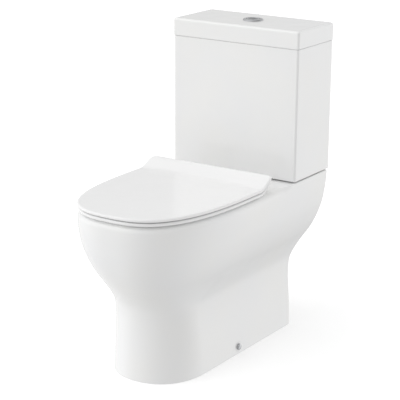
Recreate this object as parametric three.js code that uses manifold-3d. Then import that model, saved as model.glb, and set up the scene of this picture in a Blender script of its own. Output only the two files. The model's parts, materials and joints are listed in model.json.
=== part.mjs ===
// Close coupled toilet, in millimetres: +Z up, front towards -Y, the wall behind it at +Y.
// Every piece is drawn in "wall" coordinates: y = 0 is the wall, z = 0 is the floor.
// The whole group is then moved forward so that the origin is under the middle of the object.
import * as THREE from 'three';
import { mergeVertices } from 'three/addons/utils/BufferGeometryUtils.js';
import Module from 'manifold-3d';

const wasm = await Module();
wasm.setup();

// ---------------------------------------------------------------- driving dimensions
const FIT_GAP = 0.3;             // air between pieces that touch on the real object

const SEAT_FRONT = -692;         // foremost point of the closed lid; sets the overall depth
const TOTAL_DEPTH = -SEAT_FRONT;

// Pan: half width, foremost point and rearmost point at a few heights, from the foot to the rim.
const PAN_PROFILE = [
  { height: 0, half: 113.5, front: -594, back: -62 },
  { height: 60, half: 111.5, front: -591, back: -62 },
  { height: 145, half: 107, front: -587, back: -62 },
  { height: 178, half: 108, front: -592, back: -61 },
  { height: 205, half: 117.5, front: -607, back: -54 },
  { height: 235, half: 133, front: -630, back: -44 },
  { height: 265, half: 152, front: -650, back: -34 },
  { height: 300, half: 166, front: -668, back: -24 },
  { height: 340, half: 175, front: -682, back: -14 },
  { height: 385, half: 178, front: -689, back: -6 },
  { height: 410, half: 178, front: -689, back: -2 },
];
const PAN_TOP = 410;             // rim and deck share one level
const PAN_WALL = 11;
const PAN_EDGE_RADIUS = 5;
const DECK_THICKNESS = 16;
const FOOT_REACH = 108;          // length of the rounded front, at the foot
const RIM_REACH = 354;           // and at the rim

const BOWL_WALL = 11;
// Bowl hollow: half width, half length and middle, from the sump up to the rim.
const BOWL_PROFILE = [
  { height: 76, half: 22, reach: 25, middle: -413 },
  { height: 104, half: 37, reach: 42, middle: -416 },
  { height: 150, half: 46, reach: 56, middle: -423 },
  { height: 215, half: 71, reach: 92, middle: -446 },
  { height: 280, half: 101, reach: 131, middle: -468 },
  { height: 330, half: 118, reach: 150, middle: -478 },
  { height: 411, half: 128, reach: 159, middle: -481 },
];
const BOWL_POWER = 2.25;

// Trap way: its centre line runs back from the sump, up over the weir and out to the spigot.
const TRAP_LINE = [
  [-428, 122], [-390, 105], [-345, 109], [-308, 138], [-289, 178], [-266, 214],
  [-228, 232], [-188, 222], [-150, 202], [-105, 191], [-60, 190], [-24, 190],
];
const TRAP_RADIUS = 36;
const TRAP_WALL = 11;
const SPIGOT_HEIGHT = 190;
const SPIGOT_END = -20;
const SPIGOT_RADIUS = 51;
const SPIGOT_BORE = 41;
const SPIGOT_LENGTH = 62;

const FLUSH_Y = -86;             // flush valve, button and coupling bolts share this line
const INLET_RECESS_RADIUS = 55;
const INLET_LEDGE = 392;
const INLET_BORE = 34;

// Cistern and its lid
const CISTERN_BOTTOM = 413;
const CISTERN_TOP = 738.5;
const CISTERN_HALF_TOP = 178.5;
const CISTERN_HALF_BOTTOM = 177.5;
const CISTERN_DEPTH = 171;
const CISTERN_WALL = 9;
const CISTERN_FLOOR = 12;
const CISTERN_CORNER = 8;
const LID_TOP = 782.5;
const LID_HALF = 180;
const LID_DEPTH = 173;
const LID_SKIRT = 13;
const LID_ROOF = 10;

// Coupling bolts, fill valve
const COUPLING_X = 75;
const COUPLING_HOLE = 7;
const FILL_X = -125;
const FILL_TAIL_END = 365;

// Seat: the lid and the ring turn about one line
const HINGE_Y = -272;
const HINGE_Z = 423;
const HINGE_X = 77.5;
const SEAT_BACK = -265;
const SEAT_HALF = 176.5;
const SEAT_MIDDLE = -330;        // widest point; the front curve starts here
const SEAT_REACH = SEAT_MIDDLE - SEAT_FRONT;
const RING_BOTTOM = 412;
const RING_TOP = 420;
const COVER_BOTTOM = 422;
const COVER_TOP = 430;
const SEAT_CORNER = 14;
const SEAT_TAPER = 0.022;        // share of its width that the seat loses towards the back
const RAMP_START = -325;         // behind this line the seat sweeps up over its hinge
const RAMP_RISE = 21;
const RAMP_OUTSIDE = [112, 140]; // the ring's underside sweeps up only outside its hinges
const RING_BARREL = 17.3;        // rounded back of the ring, about the hinge line

// Side fixings
const FIXING_Y = -315;
const FIXING_Z = 20;
const FOOT_SIDE = 113.5;         // the caps' inner face, just outside the foot at that height

// ---------------------------------------------------------------- materials
function finish(color, roughness, metalness = 0) {
  return new THREE.MeshStandardMaterial({ color, roughness, metalness });
}
const glaze = finish(0xf3f3f2, 0.07);
const seatPlastic = finish(0xf6f6f6, 0.18);
const chrome = finish(0xd5d7da, 0.08, 1);
const innerPlastic = finish(0xe6e7e4, 0.4);
const bluePlastic = finish(0x5f86ad, 0.42);
const greyPlastic = finish(0x9da2a6, 0.45);
const rubber = finish(0x2b2b2c, 0.75);
const buffer = finish(0xe9e9e7, 0.6);
const steel = finish(0xb9bcc0, 0.32, 1);

// ---------------------------------------------------------------- solids
function signedVolume(position, triangles) {
  const a = new THREE.Vector3();
  const b = new THREE.Vector3();
  const c = new THREE.Vector3();
  let total = 0;
  for (let i = 0; i < triangles.length; i += 3) {
    a.fromBufferAttribute(position, triangles[i]);
    b.fromBufferAttribute(position, triangles[i + 1]);
    c.fromBufferAttribute(position, triangles[i + 2]);
    total += a.dot(b.cross(c));
  }
  return total / 6;
}

// A closed solid from any closed three.js geometry, facing out.
function solid(geometry) {
  const plain = geometry.clone();
  plain.deleteAttribute('normal');
  plain.deleteAttribute('uv');
  const merged = mergeVertices(plain, 1e-4);
  const index = merged.index.array;
  const triangles = [];
  for (let i = 0; i < index.length; i += 3) {
    const [a, b, c] = [index[i], index[i + 1], index[i + 2]];
    if (a !== b && b !== c && a !== c) triangles.push(a, b, c);
  }
  if (signedVolume(merged.attributes.position, triangles) < 0) triangles.reverse();
  return new wasm.Manifold(new wasm.Mesh({
    numProp: 3,
    vertProperties: new Float32Array(merged.attributes.position.array),
    triVerts: new Uint32Array(triangles),
  }));
}

function join(first, ...others) {
  return others.reduce((sum, other) => sum.add(other), first);
}

function cut(base, ...tools) {
  return tools.reduce((rest, tool) => rest.subtract(tool), base);
}

function geometryOf(body) {
  const mesh = body.getMesh();
  const geometry = new THREE.BufferGeometry();
  geometry.setAttribute('position', new THREE.BufferAttribute(new Float32Array(mesh.vertProperties), 3));
  geometry.setIndex(new THREE.BufferAttribute(new Uint32Array(mesh.triVerts), 1));
  geometry.computeVertexNormals();
  return geometry;
}

const root = new THREE.Group();
root.name = 'close_coupled_toilet';
const wallFrame = new THREE.Group();
wallFrame.position.y = TOTAL_DEPTH / 2;
root.add(wallFrame);

function piece(name, body, material) {
  const mesh = new THREE.Mesh(geometryOf(body), material);
  mesh.name = name;
  wallFrame.add(mesh);
  return mesh;
}

// Upright cylinder, and the same lying along X or Y.
function post(radius, bottom, top, x = 0, y = 0, sides = 32) {
  const geometry = new THREE.CylinderGeometry(radius, radius, top - bottom, sides);
  geometry.rotateX(Math.PI / 2);
  geometry.translate(x, y, (bottom + top) / 2);
  return solid(geometry);
}

function barX(radius, left, right, y, z, sides = 24) {
  const geometry = new THREE.CylinderGeometry(radius, radius, right - left, sides);
  geometry.rotateZ(Math.PI / 2);
  geometry.translate((left + right) / 2, y, z);
  return solid(geometry);
}

function barY(radius, front, back, x, z, sides = 24) {
  const geometry = new THREE.CylinderGeometry(radius, radius, back - front, sides);
  geometry.translate(x, (front + back) / 2, z);
  return solid(geometry);
}

function block(left, right, front, back, bottom, top) {
  const geometry = new THREE.BoxGeometry(right - left, back - front, top - bottom);
  geometry.translate((left + right) / 2, (front + back) / 2, (bottom + top) / 2);
  return solid(geometry);
}

// Turned solid: profile of [radius, height] pairs about an upright axis.
function turnedGeometry(profile, sides) {
  const points = profile.map(([radius, height]) => new THREE.Vector2(radius, height));
  const geometry = new THREE.LatheGeometry(points, sides);
  geometry.rotateX(Math.PI / 2);
  return geometry;
}

function turned(profile, x = 0, y = 0, sides = 32) {
  const geometry = turnedGeometry(profile, sides);
  geometry.translate(x, y, 0);
  return solid(geometry);
}

// Tube-like washer or nut with a square section.
function washer(inner, outer, bottom, top, x, y, sides = 32) {
  return turned([[inner, bottom], [outer, bottom], [outer, top], [inner, top], [inner, bottom]], x, y, sides);
}

// Nut: flats outside, a round hole inside.
function nut(inner, outer, bottom, top, x, y, flats = 6) {
  return cut(post(outer, bottom, top, x, y, flats), post(inner, bottom - 1, top + 1, x, y, 32));
}

function smooth(knots, key, at) {
  // Monotone cubic through the knots (Fritsch-Carlson).
  const x = knots.map((knot) => knot.height);
  const y = knots.map((knot) => knot[key]);
  const last = x.length - 1;
  if (at <= x[0]) return y[0];
  if (at >= x[last]) return y[last];
  const secant = x.slice(0, last).map((_, i) => (y[i + 1] - y[i]) / (x[i + 1] - x[i]));
  const slope = x.map((_, i) => {
    if (i === 0) return secant[0];
    if (i === last) return secant[last - 1];
    if (secant[i - 1] * secant[i] <= 0) return 0;
    return (2 * secant[i - 1] * secant[i]) / (secant[i - 1] + secant[i]);
  });
  let i = 0;
  while (at > x[i + 1]) i += 1;
  const span = x[i + 1] - x[i];
  const t = (at - x[i]) / span;
  const rest = 1 - t;
  return y[i] * (1 + 2 * t) * rest * rest + slope[i] * span * t * rest * rest
    + y[i + 1] * t * t * (3 - 2 * t) - slope[i + 1] * span * t * t * rest;
}

// Points evenly spaced along a polyline.
function evenly(points, count) {
  const along = [0];
  for (let i = 1; i < points.length; i += 1) {
    along.push(along[i - 1] + Math.hypot(points[i][0] - points[i - 1][0], points[i][1] - points[i - 1][1]));
  }
  const total = along[along.length - 1];
  const result = [];
  let i = 1;
  for (let k = 0; k <= count; k += 1) {
    const target = (total * k) / count;
    while (i < points.length - 1 && along[i] < target) i += 1;
    const t = (target - along[i - 1]) / (along[i] - along[i - 1]);
    result.push([
      points[i - 1][0] + t * (points[i][0] - points[i - 1][0]),
      points[i - 1][1] + t * (points[i][1] - points[i - 1][1]),
    ]);
  }
  return result;
}

// Right half of a D shape seen from above, from the foremost point round to the back corner.
function halfD({ half, middle, reach, back, powers, corner, frontSteps, sideSteps }) {
  const dense = [];
  for (let i = 0; i <= 240; i += 1) {
    const angle = (Math.PI / 2) * (1 - i / 240);
    dense.push([
      half * Math.abs(Math.cos(angle)) ** (2 / powers[0]),
      middle - reach * Math.abs(Math.sin(angle)) ** (2 / powers[1]),
    ]);
  }
  const points = evenly(dense, frontSteps);
  points[0][0] = 0;
  const cornerStart = back - corner;
  for (let i = 1; i <= sideSteps; i += 1) {
    points.push([half, middle + ((cornerStart - middle) * i) / sideSteps]);
  }
  for (const turn of [30, 60, 90]) {
    const angle = THREE.MathUtils.degToRad(turn);
    points.push([half - corner * (1 - Math.cos(angle)), cornerStart + corner * Math.sin(angle)]);
  }
  return points;
}

function wholeD(shape) {
  const right = halfD(shape);
  const left = right.slice(1).reverse().map(([x, y]) => [-x, y]);
  return [...right, ...left];
}

function ovalOutline(half, reach, middle, power, count) {
  const points = [];
  for (let i = 0; i < count; i += 1) {
    const angle = (2 * Math.PI * i) / count - Math.PI / 2;
    const [c, s] = [Math.cos(angle), Math.sin(angle)];
    points.push([
      half * Math.sign(c) * Math.abs(c) ** (2 / power),
      middle + reach * Math.sign(s) * Math.abs(s) ** (2 / power),
    ]);
  }
  return points;
}

function boxOutline(half, front, back, corner) {
  const points = [];
  const corners = [[half, front, -90], [half, back, 0], [-half, back, 90], [-half, front, 180]];
  for (const [x, y, start] of corners) {
    for (const turn of [0, 30, 60, 90]) {
      const angle = THREE.MathUtils.degToRad(start + turn);
      points.push([
        x - Math.sign(x) * corner + corner * Math.cos(angle),
        y + (y === front ? corner : -corner) + corner * Math.sin(angle),
      ]);
    }
  }
  return points;
}

// Closed skin over a stack of rings of [x, y, z] points, closed by a fan at each end.
function loft(rings) {
  const count = rings[0].length;
  const corners = [];
  const centre = (ring) => ring.reduce((sum, p) => sum.map((v, k) => v + p[k] / count), [0, 0, 0]);
  const triangle = (a, b, c) => corners.push(...a, ...b, ...c);
  for (let i = 0; i < count; i += 1) {
    const next = (i + 1) % count;
    triangle(centre(rings[0]), rings[0][next], rings[0][i]);
    for (let level = 0; level < rings.length - 1; level += 1) {
      const [low, high] = [rings[level], rings[level + 1]];
      triangle(low[i], low[next], high[next]);
      triangle(low[i], high[next], high[i]);
    }
    const top = rings[rings.length - 1];
    triangle(centre(top), top[i], top[next]);
  }
  const geometry = new THREE.BufferGeometry();
  geometry.setAttribute('position', new THREE.Float32BufferAttribute(corners, 3));
  return solid(geometry);
}

function level(outline, z) {
  return outline.map(([x, y]) => [x, y, z]);
}

function mirrored(build) {
  for (const [side, sign] of [['left', -1], ['right', 1]]) build(side, sign);
}

// ---------------------------------------------------------------- pan
function panShape(height, inset, back, frontSteps = 11) {
  const half = smooth(PAN_PROFILE, 'half', height);
  const front = smooth(PAN_PROFILE, 'front', height);
  const foot = Math.min(...PAN_PROFILE.map((knot) => knot.half));
  const rim = PAN_PROFILE[PAN_PROFILE.length - 1].half;
  const blend = THREE.MathUtils.clamp((half - foot) / (rim - foot), 0, 1);
  const reach = THREE.MathUtils.lerp(FOOT_REACH, RIM_REACH, blend);
  const shellBack = smooth(PAN_PROFILE, 'back', height);
  return wholeD({
    half: half - inset,
    middle: front + reach,
    reach: reach - inset,
    back: back ?? shellBack - inset,
    powers: [2.1 + 0.65 * blend, 2.1 + 0.9 * blend],
    corner: 10,
    frontSteps,
    sideSteps: 1,
  });
}

function panOuter() {
  const rings = [];
  for (const height of [0, 60, 145, 168, 188, 208, 228, 248, 268, 290, 318, 350]) {
    rings.push(level(panShape(height, 0), height));
  }
  for (const turn of [0, 30, 60, 90]) {
    const angle = THREE.MathUtils.degToRad(turn);
    const height = PAN_TOP - PAN_EDGE_RADIUS * (1 - Math.sin(angle));
    rings.push(level(panShape(height, PAN_EDGE_RADIUS * (1 - Math.cos(angle))), height));
  }
  return loft(rings);
}

// The shell is hollow, open at the foot and at the back.
function panHollow() {
  const rings = [];
  for (const height of [-5, 145, 188, 228, 268, 318, PAN_TOP - DECK_THICKNESS]) {
    rings.push(level(panShape(height, PAN_WALL, 60, 7), height));
  }
  return loft(rings);
}

function bowl(growth, top) {
  const rings = BOWL_PROFILE.map(({ height, half, reach, middle }) => level(
    ovalOutline(half + growth, reach + growth, middle, BOWL_POWER, 24),
    height === BOWL_PROFILE[0].height ? height - growth : Math.min(height, top),
  ));
  return loft(rings);
}

function trap(radius) {
  const line = new THREE.CatmullRomCurve3(TRAP_LINE.map(([y, z]) => new THREE.Vector3(0, y, z)));
  const circle = new THREE.Shape();
  circle.absarc(0, 0, radius, 0, 2 * Math.PI, false);
  const sweep = { extrudePath: line, steps: 15, curveSegments: 6, bevelEnabled: false };
  return solid(new THREE.ExtrudeGeometry(circle, sweep));
}

function buildPan() {
  const outer = panOuter();
  const spigotStart = SPIGOT_END - SPIGOT_LENGTH;
  const under = PAN_TOP - DECK_THICKNESS;
  const insides = join(
    bowl(BOWL_WALL, PAN_TOP - 6),
    trap(TRAP_RADIUS + TRAP_WALL),
    post(INLET_BORE + 12, 338, under + 2, 0, FLUSH_Y),
    block(-41, 41, -335, FLUSH_Y, 338, 386),
  ).intersect(outer);
  const spigot = barY(SPIGOT_RADIUS, spigotStart, SPIGOT_END, 0, SPIGOT_HEIGHT, 24);
  const body = join(cut(outer, panHollow()), insides, spigot);
  const holes = [
    bowl(0, PAN_TOP + 1),
    trap(TRAP_RADIUS),
    barY(SPIGOT_BORE, spigotStart + 8, SPIGOT_END + 5, 0, SPIGOT_HEIGHT, 24),
    post(INLET_RECESS_RADIUS, INLET_LEDGE, PAN_TOP + 1, 0, FLUSH_Y, 32),
    post(INLET_BORE, 350, PAN_TOP, 0, FLUSH_Y),
    block(-29, 29, -345, FLUSH_Y, 350, 374),
    post(27, 380, PAN_TOP + 1, FILL_X, FLUSH_Y, 20),
  ];
  for (const sign of [-1, 1]) {
    holes.push(post(COUPLING_HOLE, 380, PAN_TOP + 1, sign * COUPLING_X, FLUSH_Y, 14));
    holes.push(post(6, 385, PAN_TOP + 1, sign * HINGE_X, HINGE_Y, 14));
    holes.push(barX(3.4, sign * FOOT_SIDE - 20, sign * FOOT_SIDE + 20, FIXING_Y, FIXING_Z, 10));
  }
  piece('pan', cut(body, ...holes), glaze);
}

// ---------------------------------------------------------------- cistern
function buildCistern() {
  const outline = (half, inset) => boxOutline(half - inset, -CISTERN_DEPTH + inset, 0, CISTERN_CORNER);
  const shell = loft([
    level(outline(CISTERN_HALF_BOTTOM, 4), CISTERN_BOTTOM),
    level(outline(CISTERN_HALF_BOTTOM, 1.2), CISTERN_BOTTOM + 1.2),
    level(outline(CISTERN_HALF_BOTTOM, 0), CISTERN_BOTTOM + 4),
    level(outline(CISTERN_HALF_TOP, 0), CISTERN_TOP),
  ]);
  const inside = (half) => boxOutline(half - CISTERN_WALL, -CISTERN_DEPTH + CISTERN_WALL, -CISTERN_WALL, 10);
  const floor = CISTERN_BOTTOM + CISTERN_FLOOR;
  const room = loft([
    level(inside(CISTERN_HALF_BOTTOM), floor),
    level(inside(CISTERN_HALF_TOP), CISTERN_TOP + 5),
  ]);
  const below = CISTERN_BOTTOM - 5;
  const above = floor + 5;
  piece('cistern', cut(
    shell,
    room,
    post(32, below, above, 0, FLUSH_Y, 28),
    post(12.5, below, above, FILL_X, FLUSH_Y, 16),
    post(6.5, below, above, COUPLING_X, FLUSH_Y, 14),
    post(6.5, below, above, -COUPLING_X, FLUSH_Y, 14),
  ), glaze);
}

function buildCisternLid() {
  const bottom = CISTERN_TOP + 0.4;
  const outline = (inset) => boxOutline(LID_HALF - inset, -LID_DEPTH + inset, -inset, CISTERN_CORNER + 1);
  const shell = loft([
    level(outline(0.8), bottom),
    level(outline(0), bottom + 1.5),
    level(outline(0), LID_TOP - 5),
    level(outline(1.4), LID_TOP - 1.5),
    level(outline(4), LID_TOP),
  ]);
  const inner = boxOutline(LID_HALF - LID_SKIRT, -LID_DEPTH + LID_SKIRT, -11.5, 9);
  const room = loft([level(inner, bottom - 2), level(inner, LID_TOP - LID_ROOF)]);
  const ribOuter = boxOutline(LID_HALF - LID_SKIRT + 0.6, -LID_DEPTH + LID_SKIRT - 0.6, -10.9, 9);
  const ribInner = boxOutline(LID_HALF - LID_SKIRT - 6, -LID_DEPTH + LID_SKIRT + 6, -17.5, 6);
  const rib = cut(
    loft([level(ribOuter, bottom - 12), level(ribOuter, bottom + 6)]),
    loft([level(ribInner, bottom - 13), level(ribInner, bottom + 7)]),
  );
  const hole = post(20, LID_TOP - 20, LID_TOP + 5, 0, FLUSH_Y, 36);
  piece('cistern_lid', cut(join(cut(shell, room), rib), hole), glaze);
}

// ---------------------------------------------------------------- push button
const BUTTON_RADIUS = 17.2;
const BUTTON_TOP = LID_TOP + 2.2;
const BUTTON_UNDERSIDE = LID_TOP - 8;
const BEZEL_TOP = LID_TOP + 3;
const BEZEL_FLOOR = LID_TOP - 23;
const BEZEL_BOTTOM = BEZEL_FLOOR - 5;
const SPLIT_X = -3;
const LARGE_ROD_X = 8;
const SMALL_ROD_X = -9;
const ROD_TIP = 588.6;

function buildButtons() {
  const guide = turned([
    [0, BEZEL_BOTTOM], [19.4, BEZEL_BOTTOM], [19.4, LID_TOP + FIT_GAP], [25.5, LID_TOP + FIT_GAP],
    [25, BEZEL_TOP - 1], [23.5, BEZEL_TOP], [17.6, BEZEL_TOP], [17.6, BEZEL_FLOOR], [0, BEZEL_FLOOR],
  ], 0, FLUSH_Y, 32);
  piece('button_bezel', cut(
    guide,
    post(3.4, BEZEL_BOTTOM - 5, BEZEL_FLOOR + 5, LARGE_ROD_X, FLUSH_Y, 12),
    post(3.4, BEZEL_BOTTOM - 5, BEZEL_FLOOR + 5, SMALL_ROD_X, FLUSH_Y, 12),
  ), chrome);
  const underLid = LID_TOP - LID_ROOF - FIT_GAP;
  piece('button_nut', nut(19.8, 28, BEZEL_FLOOR + 4, underLid, 0, FLUSH_Y, 12), innerPlastic);

  const disc = turned([
    [0, BUTTON_UNDERSIDE], [BUTTON_RADIUS, BUTTON_UNDERSIDE], [BUTTON_RADIUS, BUTTON_TOP - 0.9],
    [BUTTON_RADIUS - 0.9, BUTTON_TOP], [0, BUTTON_TOP + 0.3],
  ], 0, FLUSH_Y, 32);
  const halfSpace = (left, right) => block(left, right, FLUSH_Y - 25, FLUSH_Y + 25, BEZEL_FLOOR, BEZEL_TOP + 5);
  piece('button_small', disc.intersect(halfSpace(-30, SPLIT_X - 0.3)), chrome);
  piece('button_large', disc.intersect(halfSpace(SPLIT_X + 0.3, 30)), chrome);

  for (const [size, x] of [['small', SMALL_ROD_X], ['large', LARGE_ROD_X]]) {
    const top = BUTTON_UNDERSIDE - FIT_GAP;
    piece(`push_rod_${size}`, turned([
      [0, ROD_TIP], [1.3, ROD_TIP + 0.4], [2.2, ROD_TIP + 1.3], [2.5, ROD_TIP + 2.6], [2.5, top], [0, top],
    ], x, FLUSH_Y, 12), innerPlastic);
    const spring = coil(x, FLUSH_Y, 4.6, 0.6, BEZEL_FLOOR + 0.9, BUTTON_UNDERSIDE - 0.9, 4);
    piece(`button_spring_${size}`, spring, steel);
  }
}

// Round wire wound about an upright axis.
function coil(x, y, radius, wire, bottom, top, turns) {
  const steps = turns * 8;
  const points = [];
  for (let i = 0; i <= steps; i += 1) {
    const angle = (2 * Math.PI * turns * i) / steps;
    points.push(new THREE.Vector3(
      x + radius * Math.cos(angle),
      y + radius * Math.sin(angle),
      bottom + ((top - bottom) * i) / steps,
    ));
  }
  const circle = new THREE.Shape();
  circle.absarc(0, 0, wire, 0, 2 * Math.PI, false);
  const sweep = { extrudePath: new THREE.CatmullRomCurve3(points), steps, curveSegments: 2, bevelEnabled: false };
  return solid(new THREE.ExtrudeGeometry(circle, sweep));
}

// ---------------------------------------------------------------- flush valve
const VALVE_FLOOR = CISTERN_BOTTOM + CISTERN_FLOOR;
const PIVOT_X = 26;
const PIVOT_Z = 585;

function buildFlushValve() {
  const y = FLUSH_Y;
  const base = turned([
    [25.5, 385], [30, 385], [30, 427.3], [38, 427.3], [38, 430.5], [28, 431], [26.6, 432.6], [25.5, 432.6],
    [25.5, 385],
  ], 0, y, 28);
  let cage = join(base, washer(17, 38, 540, 546, 0, y, 28));
  for (const quarter of [45, 135, 225, 315]) {
    const angle = THREE.MathUtils.degToRad(quarter);
    cage = join(cage, post(3, 429, 542, 34 * Math.cos(angle), y + 34 * Math.sin(angle), 10));
  }
  for (const [front, back] of [[-8.4, -6.2], [6.2, 8.4]]) {
    cage = join(cage, block(PIVOT_X - 4, PIVOT_X + 4, y + front, y + back, 544, PIVOT_Z + 5));
  }
  cage = join(cage, barY(1.8, y - 8, y + 8, PIVOT_X, PIVOT_Z, 12));
  cage = cut(cage, block(-28.6, -21.4, y - 5.6, y + 5.6, 535, 550));
  piece('flush_valve_body', cage, innerPlastic);
  piece('flush_valve_washer', washer(31, 37.5, VALVE_FLOOR + 0.2, 427.1, 0, y, 28), rubber);
  piece('flush_valve_nut', washer(30.7, 42, 400, CISTERN_BOTTOM - FIT_GAP, 0, y, 28), innerPlastic);
  piece('coupling_seal', turned([
    [42.5, INLET_LEDGE + FIT_GAP], [52, INLET_LEDGE + FIT_GAP], [54, 395], [54, 409], [51.5, 412.6],
    [42.5, 412.6], [42.5, INLET_LEDGE + FIT_GAP],
  ], 0, y, 28), rubber);

  // The overflow tube carries a fork that the lever lifts.
  let tube = turned([
    [10.5, 436.4], [22, 436.4], [22, 439], [13, 440], [13, 560], [10.5, 560], [10.5, 436.4],
  ], 0, y, 24);
  for (const sign of [-1, 1]) {
    const [front, back] = sign < 0 ? [y - 13, y - 9.6] : [y + 9.6, y + 13];
    tube = join(tube, block(-3, 3, front, back, 552, 596), block(-3, 52, front, back, 590, 596));
  }
  tube = join(tube, block(45, 52, y - 13, y + 13, 590, 596));
  piece('overflow_tube', cut(tube, post(10.5, 550, 580, 0, y, 24)), bluePlastic);
  piece('flush_seal', washer(9.5, 29, 433, 436.1, 0, y, 28), rubber);

  const lever = join(
    block(2, 51, y - 4.5, y + 4.5, PIVOT_Z - 3, PIVOT_Z + 3),
    barY(5, y - 4.5, y + 4.5, PIVOT_X, PIVOT_Z, 20),
  );
  piece('flush_lever', cut(lever, barY(2.3, y - 6, y + 6, PIVOT_X, PIVOT_Z, 16)), greyPlastic);
  piece('part_flush_slider', join(
    block(-28, -5.5, y - 4, y + 4, 582, 588),
    block(-28, -22, y - 5, y + 5, 515, 588),
  ), greyPlastic);
}

// ---------------------------------------------------------------- fill valve
const ARM_PIVOT_Y = FLUSH_Y - 21;
const ARM_PIVOT_Z = 650;
const ARM_REST = 20;             // degrees the arm hangs down while the cistern is empty
const FLOAT_ROD_Y = ARM_PIVOT_Y - 40.5;

function buildFillValve() {
  const y = FLUSH_Y;
  let body = turned([
    [0, 600], [6, 600], [6, FILL_TAIL_END], [10.2, FILL_TAIL_END], [10.2, 427.3], [19, 427.3], [19, 431],
    [9, 432], [9, 640], [17, 643], [17, 664], [14, 668], [0, 668],
  ], FILL_X, y, 20);
  for (const [left, right] of [[-7.4, -5.2], [5.2, 7.4]]) {
    body = join(body, block(FILL_X + left, FILL_X + right, y - 26, y - 10, 644, 656));
  }
  body = join(body, barX(1.6, FILL_X - 7, FILL_X + 7, ARM_PIVOT_Y, ARM_PIVOT_Z, 16));
  piece('fill_valve_body', body, innerPlastic);
  piece('fill_valve_washer', washer(10.8, 18.5, VALVE_FLOOR + 0.2, 427.1, FILL_X, y, 20), rubber);
  piece('fill_valve_nut', nut(10.6, 18, 401, CISTERN_BOTTOM - FIT_GAP, FILL_X, y, 8), innerPlastic);

  const cup = turned([
    [11, 520], [12.5, 520], [12.5, 562], [25, 562], [25, 520], [27, 520], [27, 565], [11, 565], [11, 520],
  ], FILL_X, y, 24);
  piece('float_cup', join(
    cup,
    block(FILL_X - 4, FILL_X + 4, FLOAT_ROD_Y - 4, y - 20, 561, 565),
    post(2, 563, 690, FILL_X, FLOAT_ROD_Y, 10),
  ), bluePlastic);

  const slot = block(-2.9, 2.9, -47.5, -36.5, -5, 5);
  const arm = cut(
    join(block(-4, 4, -40, 0, -2, 2), block(-6.5, 6.5, -51, -33, -2, 2), barX(4, -4, 4, 0, 0, 16)),
    slot,
    barX(2.1, -6, 6, 0, 0, 16),
  );
  const mesh = piece('float_arm', arm, greyPlastic);
  mesh.position.set(FILL_X, ARM_PIVOT_Y, ARM_PIVOT_Z);
  mesh.rotation.x = THREE.MathUtils.degToRad(ARM_REST);
}

// ---------------------------------------------------------------- coupling bolts
function buildCoupling() {
  mirrored((side, sign) => {
    const x = sign * COUPLING_X;
    piece(`coupling_bolt_${side}`, join(
      post(9, 428.4, 434, x, FLUSH_Y, 6),
      post(5, 370, 429, x, FLUSH_Y, 16),
    ), steel);
    piece(`coupling_washer_${side}`, washer(5.6, 14, VALVE_FLOOR + 0.2, 428.1, x, FLUSH_Y, 16), rubber);
    const under = PAN_TOP - DECK_THICKNESS - FIT_GAP;
    const wings = block(x - 20, x + 20, FLUSH_Y - 2.5, FLUSH_Y + 2.5, under - 12, under - 2);
    piece(`coupling_nut_${side}`, cut(
      join(post(11, under - 10, under, x, FLUSH_Y, 16), wings),
      post(5.4, under - 15, under + 2, x, FLUSH_Y, 16),
    ), innerPlastic);
  });
}

// ---------------------------------------------------------------- seat
function ramp(y) {
  const t = THREE.MathUtils.clamp((y - RAMP_START) / (SEAT_BACK - RAMP_START), 0, 1);
  return RAMP_RISE * Math.sin((Math.PI / 2) * t) ** 2;
}

const SEAT_CENTRE = -478;

function seatOutline(scale) {
  const outline = wholeD({
    half: SEAT_HALF,
    middle: SEAT_MIDDLE,
    reach: SEAT_REACH,
    back: SEAT_BACK,
    powers: [2.75, 3],
    corner: SEAT_CORNER,
    frontSteps: 11,
    sideSteps: 4,
  });
  return outline.map(([x, y]) => {
    const rear = THREE.MathUtils.clamp((y - SEAT_MIDDLE) / (SEAT_BACK - SEAT_MIDDLE), 0, 1);
    return [x * scale * (1 - SEAT_TAPER * rear ** 2), SEAT_CENTRE + (y - SEAT_CENTRE) * scale];
  });
}

// Flat seat part with rounded edges. Its top follows the ramp; below(x) is how far its underside does.
function seatSlab(size, bottom, top, below, dome) {
  const ring = (scale, z, share, crown = 0) => seatOutline(size * scale)
    .map(([x, y]) => [x, y, z + share(x) * ramp(y) + crown]);
  const above = () => 1;
  const rings = [];
  const inner = [0.5, 0.79, 0.84, 0.89, 0.93, 0.965];
  for (const scale of inner) rings.push(ring(scale, bottom, below));
  rings.push(ring(0.985, bottom, below), ring(0.996, bottom + 1.2, below));
  rings.push(ring(1, bottom + 3.4, below), ring(1, top - 3.4, above));
  rings.push(ring(0.996, top - 1.2, above), ring(0.985, top, above));
  for (const scale of [...inner].reverse()) rings.push(ring(scale, top, above, dome * (1 - scale)));
  return loft(rings);
}

function extrudedOval(half, reach, middle, bottom, top) {
  const outline = ovalOutline(half, reach, middle, 2.3, 28);
  return loft([level(outline, bottom), level(outline, top)]);
}

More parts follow.
